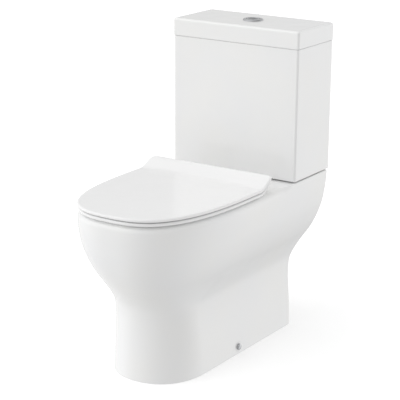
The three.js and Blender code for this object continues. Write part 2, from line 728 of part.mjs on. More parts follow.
function buildSeat() {
  const behindHinge = cut(
    block(-200, 200, HINGE_Y, HINGE_Y + 30, 400, 470),
    barX(RING_BARREL, -210, 210, HINGE_Y, HINGE_Z, 28),
  );
  const ringCuts = [extrudedOval(110, 138, -483, 400, 450), behindHinge];
  for (const sign of [-1, 1]) {
    const [left, right] = sign < 0 ? [-106.5, -63] : [63, 106.5];
    ringCuts.push(block(left, right, -293, -240, 400, 470));
    ringCuts.push(barX(3.8, sign * 86 - 36, sign * 86 + 36, HINGE_Y, HINGE_Z, 16));
  }
  const outside = (x) => THREE.MathUtils.smoothstep(Math.abs(x), ...RAMP_OUTSIDE);
  piece('seat_ring', cut(seatSlab(0.992, RING_BOTTOM, RING_TOP, outside, 0), ...ringCuts), seatPlastic);

  let cover = seatSlab(1, COVER_BOTTOM, COVER_TOP, () => 1, 2);
  for (const sign of [-1, 1]) {
    const [left, right] = sign < 0 ? [-104.5, -93.5] : [93.5, 104.5];
    cover = join(
      cover,
      barX(8, left, right, HINGE_Y, HINGE_Z, 20),
      block(left, right, HINGE_Y - 8, HINGE_Y + 6, HINGE_Z, 444),
    );
    cover = cut(cover, barX(3.8, left - 2, right + 2, HINGE_Y, HINGE_Z, 16));
  }
  piece('seat_lid', cover, seatPlastic);

  mirrored((side, sign) => {
    const x = sign * HINGE_X;
    const support = join(
      barX(8, x - 12, x + 12, HINGE_Y, HINGE_Z, 20),
      block(x - 10, x + 10, HINGE_Y - 7, HINGE_Y + 7, 413, HINGE_Z),
      post(11, PAN_TOP + FIT_GAP, 414, x, HINGE_Y, 16),
    );
    piece(`hinge_post_${side}`, cut(
      support,
      barX(3.8, x - 14, x + 14, HINGE_Y, HINGE_Z, 14),
      post(4.3, 405, 418, x, HINGE_Y, 12),
    ), chrome);
    piece(`hinge_pin_${side}`, barX(3.4, sign * 86 - 34, sign * 86 + 34, HINGE_Y, HINGE_Z, 16), steel);
    piece(`hinge_bolt_${side}`, post(3.8, 366, 417.6, x, HINGE_Y, 16), steel);
    const under = PAN_TOP - DECK_THICKNESS - FIT_GAP;
    piece(`hinge_nut_${side}`, nut(4.3, 13, under - 14, under, x, HINGE_Y), innerPlastic);
    const pads = [['front', 95, -622], ['rear', 150, -400]];
    for (const [place, px, py] of pads) {
      piece(`ring_buffer_${place}_${side}`, post(8, PAN_TOP + FIT_GAP, 411.7, sign * px, py, 20), buffer);
    }
    piece(`lid_buffer_${side}`, post(7, 420.3, 421.7, sign * 100, -608, 20), buffer);
  });
}

// ---------------------------------------------------------------- floor fixings
function buildFixings() {
  mirrored((side, sign) => {
    const alongX = (from, to) => (sign > 0 ? [from, to] : [-to, -from]);
    const outward = (profile, sides) => {
      const geometry = turnedGeometry(profile, sides);
      geometry.rotateY((sign * Math.PI) / 2);
      geometry.translate(0, FIXING_Y, FIXING_Z);
      return solid(geometry);
    };
    const [legLeft, legRight] = alongX(FOOT_SIDE - 22.8, FOOT_SIDE - 13.8);
    const [footLeft, footRight] = alongX(53, FOOT_SIDE - 13.8);
    piece(`floor_bracket_${side}`, cut(
      join(
        block(legLeft, legRight, FIXING_Y - 16, FIXING_Y + 16, 0, 42),
        block(footLeft, footRight, FIXING_Y - 16, FIXING_Y + 16, 0, 6),
      ),
      barX(2.9, ...alongX(FOOT_SIDE - 30, FOOT_SIDE - 5), FIXING_Y, FIXING_Z, 16),
      post(3.2, -2, 10, sign * 71, FIXING_Y, 16),
    ), innerPlastic);
    piece(`floor_screw_${side}`, turned([
      [0, 0.3], [2.5, 0.3], [2.5, 6.3], [6, 6.3], [6, 8], [3.5, 9.6], [0, 9.8],
    ], sign * 71, FIXING_Y, 16), steel);
    piece(`side_screw_${side}`, outward([
      [0, FOOT_SIDE - 28.8], [2.4, FOOT_SIDE - 26.8], [2.4, FOOT_SIDE], [5, FOOT_SIDE],
      [5, FOOT_SIDE + 1.2], [3, FOOT_SIDE + 2.2], [0, FOOT_SIDE + 2.4],
    ], 16), steel);
    piece(`side_cap_${side}`, outward([
      [5.5, FOOT_SIDE], [8, FOOT_SIDE], [8, FOOT_SIDE + 1.7], [6.8, FOOT_SIDE + 4], [4, FOOT_SIDE + 5.1],
      [0, FOOT_SIDE + 5.4], [0, FOOT_SIDE + 2.8], [5.5, FOOT_SIDE + 2.8], [5.5, FOOT_SIDE],
    ], 20), chrome);
  });
}

buildPan();
buildCistern();
buildCisternLid();
buildButtons();
buildFlushValve();
buildFillValve();
buildCoupling();
buildSeat();
buildFixings();

export default root;
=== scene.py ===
"""Close coupled toilet: the fine surfaces, materials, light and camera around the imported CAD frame."""

import json
import math

import bmesh
import bpy
import numpy as np
from mathutils import Matrix, Vector

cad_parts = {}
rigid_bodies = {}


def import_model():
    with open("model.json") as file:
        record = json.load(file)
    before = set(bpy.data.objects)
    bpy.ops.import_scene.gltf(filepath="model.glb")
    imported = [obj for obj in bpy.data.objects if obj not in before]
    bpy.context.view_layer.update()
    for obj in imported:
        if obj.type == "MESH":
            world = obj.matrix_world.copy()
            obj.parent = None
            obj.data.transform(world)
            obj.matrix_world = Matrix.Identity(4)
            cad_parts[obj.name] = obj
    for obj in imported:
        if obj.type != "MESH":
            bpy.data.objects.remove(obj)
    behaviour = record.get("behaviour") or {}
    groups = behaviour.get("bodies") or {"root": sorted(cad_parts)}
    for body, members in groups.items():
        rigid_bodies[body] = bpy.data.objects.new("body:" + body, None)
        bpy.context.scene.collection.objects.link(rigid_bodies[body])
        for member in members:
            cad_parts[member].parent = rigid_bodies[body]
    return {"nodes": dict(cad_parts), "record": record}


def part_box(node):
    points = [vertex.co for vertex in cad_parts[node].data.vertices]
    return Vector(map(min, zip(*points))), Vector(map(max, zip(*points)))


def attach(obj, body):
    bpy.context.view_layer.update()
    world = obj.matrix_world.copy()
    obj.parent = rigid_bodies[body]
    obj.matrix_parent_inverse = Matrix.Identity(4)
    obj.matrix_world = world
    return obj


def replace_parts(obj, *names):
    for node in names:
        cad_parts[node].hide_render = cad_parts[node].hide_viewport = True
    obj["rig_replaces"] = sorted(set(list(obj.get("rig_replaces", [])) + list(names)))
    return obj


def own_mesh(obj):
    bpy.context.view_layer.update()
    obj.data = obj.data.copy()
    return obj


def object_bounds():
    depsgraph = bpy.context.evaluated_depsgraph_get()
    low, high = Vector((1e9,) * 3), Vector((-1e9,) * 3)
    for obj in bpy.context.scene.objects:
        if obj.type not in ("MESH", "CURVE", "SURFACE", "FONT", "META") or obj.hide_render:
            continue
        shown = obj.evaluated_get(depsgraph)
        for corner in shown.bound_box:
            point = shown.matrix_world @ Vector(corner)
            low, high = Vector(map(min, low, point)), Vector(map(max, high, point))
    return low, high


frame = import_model()
cad_box = [list(corner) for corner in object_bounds()]

# Shapes below are in millimetres, measured from the wall (y = 0, front towards -Y) and the floor (z = 0).
MM = 0.001
WALL = cad_box[1][1]


def low(node, axis):
    """Lowest coordinate of a CAD node in those millimetres."""
    return (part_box(node)[0][axis] - (WALL if axis == 1 else 0)) / MM


def high(node, axis):
    return (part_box(node)[1][axis] - (WALL if axis == 1 else 0)) / MM


X, Y, Z = 0, 1, 2
SIDES = (("left", -1), ("right", 1))
BODY_OF = {node: body for body, nodes in frame["record"]["behaviour"]["bodies"].items() for node in nodes}
SLOT_OF = {row["node"]: row["material_slot"] for row in frame["record"]["subparts"]}

# ------------------------------------------------------------------ driving dimensions
PAN_TOP = high("pan", Z)
RIM_EDGE = 17                     # radius of the rim's outer edge
DECK_EDGE = 4                     # and of the deck's, under the cistern
DECK_START, DECK_EASE = -180, 45  # the deck's radius holds behind this line and eases in ahead of it
PAN_WALL = 11
DECK = 16
FOOT_REACH, RIM_REACH = 108, 354  # length of the rounded front at the foot and at the rim
# Height, half width, foremost and rearmost point of the pan's outside.
PAN_KNOTS = (
    (0, 113.5, -594, -62), (60, 111.5, -591, -62), (145, 107, -587, -62), (178, 108, -592, -61),
    (205, 117.5, -607, -54), (235, 133, -630, -44), (265, 152, -650, -34), (300, 166, -668, -24),
    (340, 175, -682, -14), (385, 178, -689, -6), (410, 178, -689, -2),
)
# Height, half width, half length and middle of the bowl's hollow.
BOWL_KNOTS = (
    (76, 22, 25, -413), (104, 37, 42, -416), (150, 46, 56, -423), (215, 71, 92, -446),
    (280, 101, 131, -468), (330, 118, 150, -478), (411, 128, 159, -481),
)
BOWL_POWER = 2.25
BOWL_WALL = 11
RIM_ROUND = 7                     # rounding of the bowl's upper edge
PAN_CORNER = 10                   # radius of the pan's rear corners
FOOT_EDGE = 2                     # rounding of the foot's lower edge
# The trap way's centre line, as (y, z), from the sump over the weir to the spigot.
TRAP_LINE = (
    (-428, 122), (-390, 105), (-345, 109), (-308, 138), (-289, 178), (-266, 214),
    (-228, 232), (-188, 222), (-150, 202), (-105, 191), (-60, 190), (-24, 190),
)
TRAP_RADIUS = 36
TRAP_WALL = 11
SPIGOT_Z = 190
SPIGOT_END = -20
SPIGOT_RADIUS, SPIGOT_BORE, SPIGOT_LENGTH = 51, 41, 62
INLET_RADIUS, INLET_WALL = 34, 12  # the flush inlet under the cistern
INLET_RECESS, INLET_LEDGE = 55, 392
CHANNEL_HALF, CHANNEL_WALL = 29, 12  # the flush channel from the inlet to the bowl
CHANNEL_LOW, CHANNEL_HIGH, CHANNEL_FRONT = 350, 374, -345
FILL_HOLE = 27

VALVE_Y = (low("flush_seal", Y) + high("flush_seal", Y)) / 2
FILL_X = (low("fill_valve_body", X) + high("fill_valve_body", X)) / 2
COUPLING_X = (low("coupling_bolt_right", X) + high("coupling_bolt_right", X)) / 2
HINGE_X = (low("hinge_bolt_right", X) + high("hinge_bolt_right", X)) / 2
HINGE_Y = (low("hinge_pin_right", Y) + high("hinge_pin_right", Y)) / 2
HINGE_Z = (low("hinge_pin_right", Z) + high("hinge_pin_right", Z)) / 2
FIXING_Y = (low("side_cap_right", Y) + high("side_cap_right", Y)) / 2
FIXING_Z = (low("side_cap_right", Z) + high("side_cap_right", Z)) / 2
COUPLING_HOLE, HINGE_HOLE, FIXING_HOLE = 7, 6, 3.4  # radii of the pan's holes for them

CISTERN_LOW, CISTERN_HIGH = low("cistern", Z), high("cistern", Z)
CISTERN_FRONT = low("cistern", Y)
CISTERN_HALF = high("cistern", X)
CISTERN_TAPER = 1                 # narrower by this much at the bottom, each side
CISTERN_CORNER = 5.5
CISTERN_WALL = 9
CISTERN_FLOOR = 12
CISTERN_FOOT_EDGE = 2             # rounding of the cistern's lower edge
SEAM_EDGE = 2.2                   # rounding of both edges where the lid meets the cistern
CISTERN_ROOM_CORNER = 10
VALVE_HOLE, TAIL_HOLE, BOLT_HOLE = 32, 12.5, 6.5  # radii of the holes in its floor
LID_LOW, LID_HIGH = CISTERN_HIGH + 0.4, high("cistern_lid", Z)
LID_FRONT = low("cistern_lid", Y)
LID_HALF = high("cistern_lid", X)
LID_CORNER = 6
LID_EDGE = 6.5                    # rounding of the lid's upper edge
LID_SKIRT = 13
LID_ROOF = 10
RIB_DROP = 12                     # how far the locating rib reaches down into the cistern
BUTTON_HOLE = 20

SEAT_FRONT = low("seat_lid", Y)
SEAT_BACK = -265
SEAT_HALF = high("seat_lid", X)
SEAT_MIDDLE = -330                # the seat is widest here, and its front curve starts
SEAT_CENTRE = -478
SEAT_CORNER = 14
SEAT_TAPER = 0.022                # share of its width that the seat loses towards the back
RING_SIZE = 0.992                 # the ring is a little smaller than the lid over it
RING_LOW, RING_HIGH = low("seat_ring", Z), 420
COVER_LOW, COVER_HIGH = 422, 430
SEAT_EDGE = 3.8
RAMP_START, RAMP_RISE = -325, 21  # behind this line the seat sweeps up over its hinge
RAMP_OUTSIDE = (112, 140)         # the ring's underside sweeps up only outside its hinges
RING_BARREL = 17.3                # rounded back of the ring, about the hinge line
OPENING_HALF, OPENING_REACH, OPENING_MIDDLE = 110, 138, -483
OPENING_POWER = 2.3
OPENING_EDGE = 3.2                # rounding of the ring's opening
NOTCH = (63, 106.5)               # room for a hinge in the ring's back edge, from and to along x
NOTCH_FRONT = -293
LUG = (93.5, 104.5)               # the lid's lug in that notch
LUG_RADIUS = 8
PIN_BORE = 3.8
PIN_MIDDLE, PIN_REACH = 86, 36    # middle and half length of the bore in the ring


# ------------------------------------------------------------------ curves and outlines
def through(knots, column):
    """Smooth curve through the knots' column, as a function of height (monotone cubic, then eased)."""
    at = np.array([knot[0] for knot in knots], float)
    value = np.array([knot[column] for knot in knots], float)
    secant = np.diff(value) / np.diff(at)
    slope = np.empty_like(value)
    slope[0], slope[-1] = secant[0], secant[-1]
    product = secant[:-1] * secant[1:]
    total = secant[:-1] + secant[1:]
    slope[1:-1] = np.where(product > 0, 2 * product / np.where(total == 0, 1, total), 0)
    dense = np.arange(at[0] - 60, at[-1] + 61, 1.0)
    inside = np.clip(dense, at[0], at[-1])
    i = np.clip(np.searchsorted(at, inside, side="right") - 1, 0, len(at) - 2)
    span = at[i + 1] - at[i]
    t = (inside - at[i]) / span
    curve = (
        value[i] * (1 + 2 * t) * (1 - t) ** 2 + slope[i] * span * t * (1 - t) ** 2
        + value[i + 1] * t * t * (3 - 2 * t) - slope[i + 1] * span * t * t * (1 - t)
    )
    reach = np.arange(-24, 25)
    weights = np.exp(-0.5 * (reach / 8.0) ** 2)
    eased = np.convolve(curve, weights / weights.sum(), mode="same")
    return lambda height: float(np.interp(height, dense, eased))


def evenly(points, count):
    """Points spaced evenly along a polyline, both ends kept."""
    points = np.asarray(points, float)
    along = np.concatenate([[0], np.cumsum(np.linalg.norm(np.diff(points, axis=0), axis=1))])
    wanted = np.linspace(0, along[-1], count + 1)
    return np.column_stack([np.interp(wanted, along, points[:, k]) for k in range(points.shape[1])])


def d_outline(half, middle, reach, back, powers, corner, front_steps=64, side_steps=20, corner_steps=8):
    """Rounded D seen from above, anticlockwise from its foremost point."""
    angle = np.linspace(math.pi / 2, 0, 1201)
    curve = np.column_stack([
        half * np.abs(np.cos(angle)) ** (2 / powers[0]),
        middle - reach * np.abs(np.sin(angle)) ** (2 / powers[1]),
    ])
    front = evenly(curve, front_steps)
    front[0, 0] = 0
    side = np.column_stack([
        np.full(side_steps, half),
        np.linspace(middle, back - corner, side_steps + 1)[1:],
    ])
    turn = np.linspace(0, math.pi / 2, corner_steps + 1)[1:]
    bend = np.column_stack([half - corner * (1 - np.cos(turn)), back - corner + corner * np.sin(turn)])
    rear = np.column_stack([np.linspace(half - corner, 0, 7)[1:-1], np.full(5, back)])
    right = np.vstack([front, side, bend, rear])
    left = right[1:][::-1] * (-1, 1)
    return np.vstack([right, [[0, back]], left])


def oval(half, reach, middle, power, count=112):
    angle = np.linspace(0, 2 * math.pi, count, endpoint=False) - math.pi / 2
    c, s = np.cos(angle), np.sin(angle)
    return np.column_stack([
        half * np.sign(c) * np.abs(c) ** (2 / power),
        middle + reach * np.sign(s) * np.abs(s) ** (2 / power),
    ])


def box_outline(half, front, back, corner, corner_steps=8, side_steps=10):
    """Rounded rectangle seen from above, with points along its sides too."""
    corner = max(corner, 0.5)
    centres = ((half - corner, front + corner, -90), (half - corner, back - corner, 0),
               (corner - half, back - corner, 90), (corner - half, front + corner, 180))
    arcs = []
    for x, y, start in centres:
        turn = np.radians(start + np.linspace(0, 90, corner_steps + 1))
        arcs.append(np.column_stack([x + corner * np.cos(turn), y + corner * np.sin(turn)]))
    points = []
    for i, arc in enumerate(arcs):
        following = arcs[(i + 1) % 4][0]
        points.append(arc)
        points.append(arc[-1] + (following - arc[-1]) * np.linspace(0, 1, side_steps + 1)[1:-1, None])
    return np.vstack(points)


def rise(outline, z):
    """The outline lifted to z, which is one number or one for each point."""
    return np.column_stack([outline, np.broadcast_to(z, len(outline))])


def quarter(radius, steps=8):
    """Steps of a rounded edge: how far in, and how far below the top, from the side to the top."""
    turn = np.linspace(0, math.pi / 2, steps + 1)
    return [(radius * (1 - math.cos(a)), radius * (1 - math.sin(a))) for a in turn]


def rounded(profile, radius, steps=4):
    """Profile with its corners rounded; the ends of an open profile stay."""
    profile = [np.array(p, float) for p in profile]
    closed = np.allclose(profile[0], profile[-1])
    corners = profile[:-1] if closed else profile
    count = len(corners)
    result = []
    for i, corner in enumerate(corners):
        if not closed and i in (0, count - 1):
            result.append(corner)
            continue
        before = corners[i - 1] - corner
        after = corners[(i + 1) % count] - corner
        reach = min(radius, 0.45 * np.linalg.norm(before), 0.45 * np.linalg.norm(after))
        start = corner + before / np.linalg.norm(before) * reach
        end = corner + after / np.linalg.norm(after) * reach
        for t in np.linspace(0, 1, steps + 1):
            result.append((1 - t) ** 2 * start + 2 * t * (1 - t) * corner + t * t * end)
    if closed:
        result.append(result[0])
    return result


# ------------------------------------------------------------------ meshes
def new_object(name, points, faces):
    points = np.asarray(points, float) * MM
    points[:, Y] += WALL
    mesh = bpy.data.meshes.new(name)
    mesh.from_pydata([tuple(p) for p in points], [], faces)
    work = bmesh.new()
    work.from_mesh(mesh)
    bmesh.ops.remove_doubles(work, verts=work.verts, dist=1e-7)
    bmesh.ops.recalc_face_normals(work, faces=work.faces)
    work.to_mesh(mesh)
    work.free()
    thing = bpy.data.objects.new(name, mesh)
    bpy.context.scene.collection.objects.link(thing)
    return thing


def skin(name, rings, closed=False):
    """Skin over a stack of matching rings; its ends are capped, or joined if it closes on itself."""
    count = len(rings[0])
    faces = []
    last = len(rings) if closed else len(rings) - 1
    for i in range(last):
        a, b = i * count, (i + 1) % len(rings) * count
        for k in range(count):
            j = (k + 1) % count
            faces.append((a + k, a + j, b + j, b + k))
    if not closed:
        faces.append(tuple(range(count)))
        faces.append(tuple(range((len(rings) - 1) * count, len(rings) * count)))
    return new_object(name, np.vstack(rings), faces)


def turned(name, profile, at=(0, 0), axis=Z, steps=96, radius=0.5):
    """Turned solid from (radius, place along the axis) pairs; at gives the axis's other two coordinates."""
    profile = rounded(profile, radius)
    closed = np.allclose(profile[0], profile[-1])
    rows = profile[:-1] if closed else [p for p in profile if p[0] > 1e-6]
    angle = np.linspace(0, 2 * math.pi, steps, endpoint=False)
    others = [k for k in (X, Y, Z) if k != axis]
    rings = []
    for r, along in rows:
        ring = np.empty((steps, 3))
        ring[:, axis] = along
        ring[:, others[0]] = at[0] + r * np.cos(angle)
        ring[:, others[1]] = at[1] + r * np.sin(angle)
        rings.append(ring)
    return skin(name, rings, closed)


def rod(radius, start, end, at, axis=Z, steps=64):
    return turned("rod", [(0, start), (radius, start), (radius, end), (0, end)], at, axis, steps, 0)


def slab(left, right, front, back, bottom, top, round_by=0.0):
    """Box, with its edges rounded if asked."""
    outline = np.array([(left, front), (right, front), (right, back), (left, back)], float)
    thing = skin("slab", [rise(outline, bottom), rise(outline, top)])
    if round_by:
        edge = thing.modifiers.new("edge", "BEVEL")
        edge.width = round_by * MM
        edge.segments = 3
        apply(thing)
    return thing


def apply(thing):
    """Makes the modifiers' result the piece's own mesh."""
    bpy.context.view_layer.update()
    graph = bpy.context.evaluated_depsgraph_get()
    mesh = bpy.data.meshes.new_from_object(thing.evaluated_get(graph))
    thing.modifiers.clear()
    old = thing.data
    thing.data = mesh
    bpy.data.meshes.remove(old)


def combine(base, operation, *others):
    for other in others:
        step = base.modifiers.new("combine", "BOOLEAN")
        step.operation = operation
        step.solver = "MANIFOLD"
        step.object = other
    apply(base)
    for other in others:
        mesh = other.data
        bpy.data.objects.remove(other)
        bpy.data.meshes.remove(mesh)
    return base


def join(base, *others):
    return combine(base, "UNION", *others)


def cut(base, *others):
    return combine(base, "DIFFERENCE", *others)


def shade(thing, sharp=32):
    """Smooth shading with flat faces kept flat."""
    thing.data.shade_smooth()
    thing.data.set_sharp_from_angle(angle=math.radians(sharp))
    normals = thing.modifiers.new("normals", "WEIGHTED_NORMAL")
    normals.keep_sharp = True
    normals.weight = 60
    apply(thing)


def soften(thing, width, steeper_than):
    """Bevels the edges that turn by more than so many degrees."""
    edge = thing.modifiers.new("edge", "BEVEL")
    edge.width = width * MM
    edge.segments = 3
    edge.limit_method = "ANGLE"
    edge.angle_limit = math.radians(steeper_than)
    edge.use_clamp_overlap = True
    apply(thing)
    return thing


def stand_for(thing, node, sharp=32):
    """thing becomes the visible piece for a CAD node, on its body and in its slot's material."""
    thing.name = f"{node}_fine"
    thing.data.name = thing.name
    shade(thing, sharp)
    thing.data.materials.clear()
    thing.data.materials.append(material_of[SLOT_OF[node]])
    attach(thing, BODY_OF[node])
    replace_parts(thing, node)
    return thing


# ------------------------------------------------------------------ materials
def new_material(name):
    material = bpy.data.materials.new(name)
    material.use_nodes = True
    nodes, links = material.node_tree.nodes, material.node_tree.links
    shader = nodes["Principled BSDF"]
    return material, nodes, links, shader


def noise(nodes, links, scale, detail=3, roughness=0.5, stretch=(1, 1, 1)):
    """Noise over the piece's own coordinates, in cycles per metre."""
    place = nodes.new("ShaderNodeTexCoord")
    shape = nodes.new("ShaderNodeMapping")
    shape.inputs["Scale"].default_value = stretch
    texture = nodes.new("ShaderNodeTexNoise")
    texture.inputs["Scale"].default_value = scale
    texture.inputs["Detail"].default_value = detail
    texture.inputs["Roughness"].default_value = roughness
    links.new(place.outputs["Object"], shape.inputs["Vector"])
    links.new(shape.outputs["Vector"], texture.inputs["Vector"])
    return texture.outputs["Fac"]


def vary(nodes, links, factor, low_value, high_value):
    """The factor spread from one number to another."""
    spread = nodes.new("ShaderNodeMapRange")
    spread.inputs["From Min"].default_value = 0.3
    spread.inputs["From Max"].default_value = 0.7
    spread.inputs["To Min"].default_value = low_value
    spread.inputs["To Max"].default_value = high_value
    links.new(factor, spread.inputs["Value"])
    return spread.outputs["Result"]


def tint(nodes, links, factor, first, second):
    """Colour that drifts between two tones."""
    ramp = nodes.new("ShaderNodeValToRGB")
    ramp.color_ramp.elements[0].position = 0.3
    ramp.color_ramp.elements[1].position = 0.7
    ramp.color_ramp.elements[0].color = (*first, 1)
    ramp.color_ramp.elements[1].color = (*second, 1)
    links.new(factor, ramp.inputs["Fac"])
    return ramp.outputs["Color"]


def relief(nodes, links, shader, layers, socket="Normal"):
    """Bump from several layers of (factor, depth in metres)."""
    normal = None
    for factor, depth in layers:
        bump = nodes.new("ShaderNodeBump")
        bump.inputs["Strength"].default_value = 1
        bump.inputs["Distance"].default_value = depth
        links.new(factor, bump.inputs["Height"])
        if normal is not None:
            links.new(normal, bump.inputs["Normal"])
        normal = bump.outputs["Normal"]
    links.new(normal, shader.inputs[socket])


def glazed(name, tone):
    """Fired white glaze: a clear glossy layer over a slightly uneven body, thicker in places."""
    material, nodes, links, shader = new_material(name)
    cloud = noise(nodes, links, 7, 3)
    cool = tuple(v * f for v, f in zip(tone, (0.985, 0.99, 1.0)))
    warm = tuple(v * f for v, f in zip(tone, (1.0, 0.998, 0.99)))
    links.new(tint(nodes, links, cloud, cool, warm), shader.inputs["Base Color"])
    links.new(vary(nodes, links, noise(nodes, links, 55, 4), 0.07, 0.15), shader.inputs["Roughness"])
    shader.inputs["IOR"].default_value = 1.5
    shader.inputs["Coat Weight"].default_value = 0.35
    shader.inputs["Coat Roughness"].default_value = 0.03
    shader.inputs["Coat IOR"].default_value = 1.48
    wave = noise(nodes, links, 11, 1)
    peel = noise(nodes, links, 240, 2)
    relief(nodes, links, shader, [(wave, 0.0011), (peel, 0.00002)])
    relief(nodes, links, shader, [(wave, 0.0009)], "Coat Normal")
    return material


def gloss_plastic(name, tone):
    """Pressed thermoset seat plastic: dense, white and polished, with a faint moulding ripple."""
    material, nodes, links, shader = new_material(name)
    drift = noise(nodes, links, 5, 2)
    links.new(tint(nodes, links, drift, tuple(v * 0.99 for v in tone), tone), shader.inputs["Base Color"])
    links.new(vary(nodes, links, noise(nodes, links, 90, 4, 0.6), 0.12, 0.2), shader.inputs["Roughness"])
    shader.inputs["IOR"].default_value = 1.48
    ripple = noise(nodes, links, 14, 1)
    polish = noise(nodes, links, 900, 2)
    relief(nodes, links, shader, [(ripple, 0.0005), (polish, 0.000006)])
    return material


# Painted shade: the chrome's tone is scaled down to stand in for the darker surroundings seen in its
# reflections.
CHROME_PAINTED_SHADE = 0.72               # how much of its tone the plating keeps


def chromed(name, tone):
    """Bright plating with faint wiping marks and water-spot dullness, over a base darkened as painted shade
    for the dark surroundings it would reflect.
    """
    material, nodes, links, shader = new_material(name)
    # Painted shade: the plating's tone is darkened throughout, in place of dark reflections.
    tone = tuple(v * CHROME_PAINTED_SHADE for v in tone)
    shader.inputs["Metallic"].default_value = 1
    spots = noise(nodes, links, 160, 5, 0.65)
    marks = noise(nodes, links, 700, 2, 0.5, (1, 9, 1))
    links.new(tint(nodes, links, spots, tuple(v * 0.9 for v in tone), tone), shader.inputs["Base Color"])
    links.new(vary(nodes, links, spots, 0.04, 0.16), shader.inputs["Roughness"])
    relief(nodes, links, shader, [(marks, 0.000004)])
    return material


def moulded(name, tone, rough=(0.34, 0.5)):
    """Injection moulded plastic with a fine spark-eroded grain and flow variation."""
    material, nodes, links, shader = new_material(name)
    flow = noise(nodes, links, 30, 3, 0.5, (1, 1, 0.35))
    grain = noise(nodes, links, 1600, 2, 0.7)
    dark = tuple(v * 0.93 for v in tone)
    links.new(tint(nodes, links, flow, dark, tone), shader.inputs["Base Color"])
    links.new(vary(nodes, links, grain, *rough), shader.inputs["Roughness"])
    shader.inputs["IOR"].default_value = 1.47
    relief(nodes, links, shader, [(grain, 0.00002), (flow, 0.0001)])
    return material


def rubbery(name, tone):
    """Moulded rubber: dull, with a dusty bloom."""
    material, nodes, links, shader = new_material(name)
    bloom = noise(nodes, links, 120, 5, 0.6)
    pale = tuple(min(1, v * 1.25 + 0.01) for v in tone)
    links.new(tint(nodes, links, bloom, tone, pale), shader.inputs["Base Color"])
    links.new(vary(nodes, links, bloom, 0.6, 0.85), shader.inputs["Roughness"])
    relief(nodes, links, shader, [(noise(nodes, links, 1200, 3), 0.00004)])
    return material


def plated_steel(name, tone):
    """Zinc-plated steel with drawn grain along its length and small stains."""
    material, nodes, links, shader = new_material(name)
    shader.inputs["Metallic"].default_value = 1
    grain = noise(nodes, links, 900, 3, 0.6, (1, 1, 0.08))
    stain = noise(nodes, links, 70, 4, 0.6)
    links.new(tint(nodes, links, stain, tuple(v * 0.82 for v in tone), tone), shader.inputs["Base Color"])
    links.new(vary(nodes, links, grain, 0.24, 0.42), shader.inputs["Roughness"])
    relief(nodes, links, shader, [(grain, 0.00002)])
    return material


MAKERS = {
    "glazed_ceramic": glazed,
    "seat_plastic": gloss_plastic,
    "chrome": chromed,
    "inner_plastic": moulded,
    "blue_plastic": moulded,
    "grey_plastic": moulded,
    "rubber": rubbery,
    "buffer_rubber": rubbery,
    "steel": plated_steel,
}
material_of = {
    row["slot"]: MAKERS[row["slot"]](f"{row['slot']}_look", tuple(row["base_color"]))
    for row in frame["record"]["materials"]
}


# ------------------------------------------------------------------ pan
pan_half = through(PAN_KNOTS, 1)
pan_front = through(PAN_KNOTS, 2)
pan_back = through(PAN_KNOTS, 3)
bowl_half = through(BOWL_KNOTS, 1)
bowl_reach = through(BOWL_KNOTS, 2)
bowl_middle = through(BOWL_KNOTS, 3)
NARROWEST = min(knot[1] for knot in PAN_KNOTS)
WIDEST = PAN_KNOTS[-1][1]


def pan_outline(height, inset=0.0, back=None):
    half = pan_half(height)
    front = pan_front(height)
    blend = min(max((half - NARROWEST) / (WIDEST - NARROWEST), 0), 1)
    reach = FOOT_REACH + (RIM_REACH - FOOT_REACH) * blend
    return d_outline(
        half - inset, front + reach, reach - inset, pan_back(height) - inset if back is None else back,
        (2.1 + 0.65 * blend, 2.1 + 0.9 * blend), PAN_CORNER,
    )


def deck_share(y):
    """How much of the deck's edge radius, rather than the rim's, a point takes."""
    t = np.clip((y - DECK_START) / DECK_EASE + 1, 0, 1)
    return t * t * (3 - 2 * t)


def pan_shell():
    rings = [rise(pan_outline(0, FOOT_EDGE + 0.5), 0)]
    for inset, below in reversed(quarter(FOOT_EDGE, 4)):
        rings.append(rise(pan_outline(below, inset), below))
    for height in np.linspace(4, PAN_TOP - RIM_EDGE, 96)[:-1]:
        rings.append(rise(pan_outline(height), height))
    for (rim_in, rim_below), (deck_in, deck_below) in zip(quarter(RIM_EDGE, 12), quarter(DECK_EDGE, 12)):
        rim = rise(pan_outline(PAN_TOP - rim_below, rim_in), PAN_TOP - rim_below)
        deck = rise(pan_outline(PAN_TOP - deck_below, deck_in), PAN_TOP - deck_below)
        rings.append(rim + (deck - rim) * deck_share(deck[:, Y])[:, None])
    rings.append(rise(pan_outline(PAN_TOP, RIM_EDGE + 0.6), PAN_TOP))
    return skin("pan", rings)


def pan_hollow():
    """The space inside the shell, open at the foot and at the back."""
    heights = [-5, *np.linspace(4, PAN_TOP - DECK, 40)]
    return skin("hollow", [rise(pan_outline(height, PAN_WALL, 60), height) for height in heights])


def bowl_outline(height, growth):
    return oval(bowl_half(height) + growth, bowl_reach(height) + growth, bowl_middle(height), BOWL_POWER)


def bowl_skin(growth, rounding=0):
    """The bowl's hollow, or with growth the outside of its wall; rounding widens it at the rim."""
    rings = []
    bottom, top = BOWL_KNOTS[0][0], PAN_TOP
    for height in np.linspace(bottom, top - rounding, 60):
        grown = growth if height > bottom else growth - 4
        rings.append(rise(bowl_outline(height, grown), height - growth if height == bottom else height))
    if rounding:
        for inset, below in quarter(rounding, 8)[1:]:
            rings.append(rise(bowl_outline(top - below, inset), top - below))
        rings.append(rings[-1] + (0, 0, 3))
    return skin("bowl", rings if rounding else rings[:-1])


